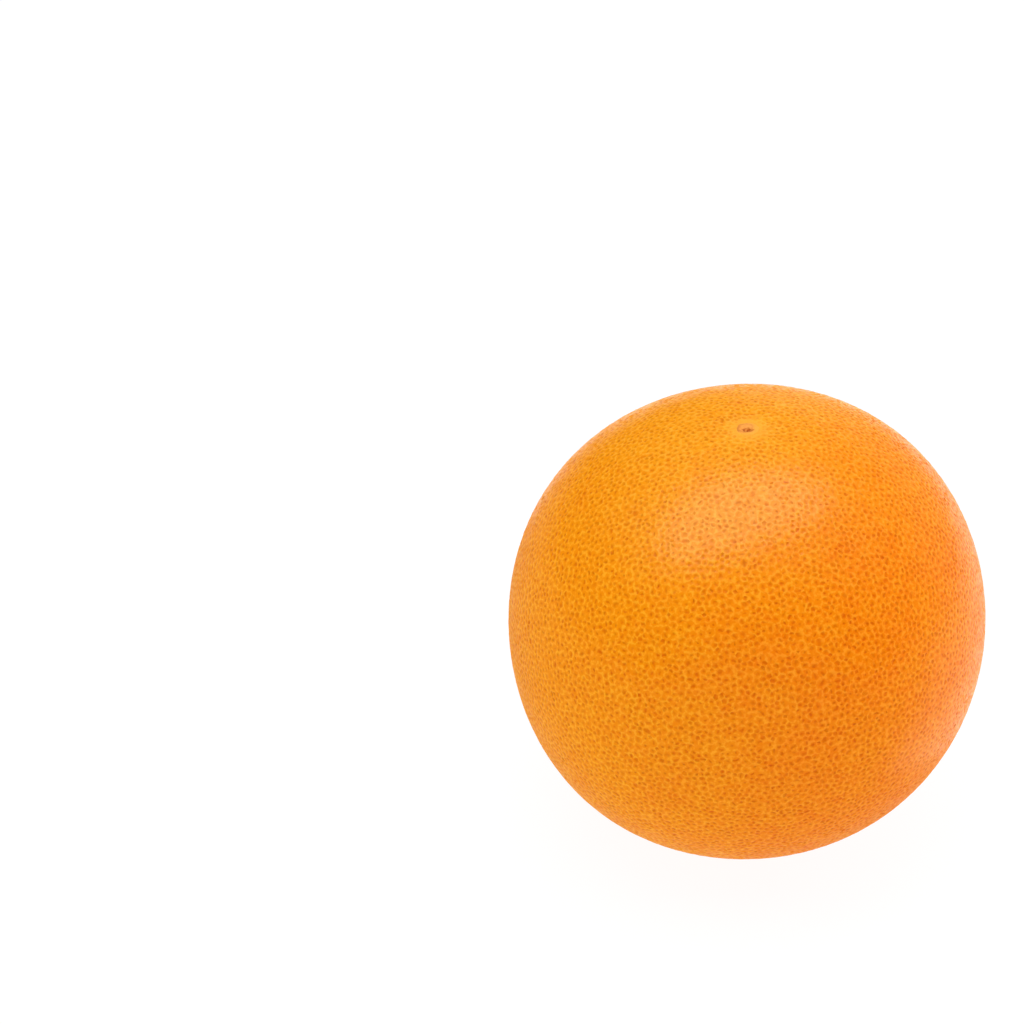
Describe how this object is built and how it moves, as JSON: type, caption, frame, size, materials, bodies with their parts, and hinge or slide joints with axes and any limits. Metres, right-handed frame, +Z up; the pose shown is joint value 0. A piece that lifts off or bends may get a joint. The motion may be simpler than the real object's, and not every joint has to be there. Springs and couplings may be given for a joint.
{
  "type": "grapefruit",
  "caption": "Whole grapefruit: slightly flattened ball with pitted peel, a small scar on top and a dried calyx in a hollow underneath; it rests on the flat spot round that hollow.",
  "frame": {"origin": "on the surface that the fruit rests on, under the middle of the fruit", "axes": "+Z up through the middle of the fruit, from the stem end to the blossom end; the blossom-end scar leans a little towards -X; seen from -Y the fruit shows the side it was modelled from"},
  "size_m": [0.0994, 0.0992, 0.0945],
  "materials": {
    "peel": "waxy pitted citrus rind, orange-yellow, softly glossy"
  },
  "bodies": {
    "root": {"grapefruit": "peel"}
  },
  "joints": []
}
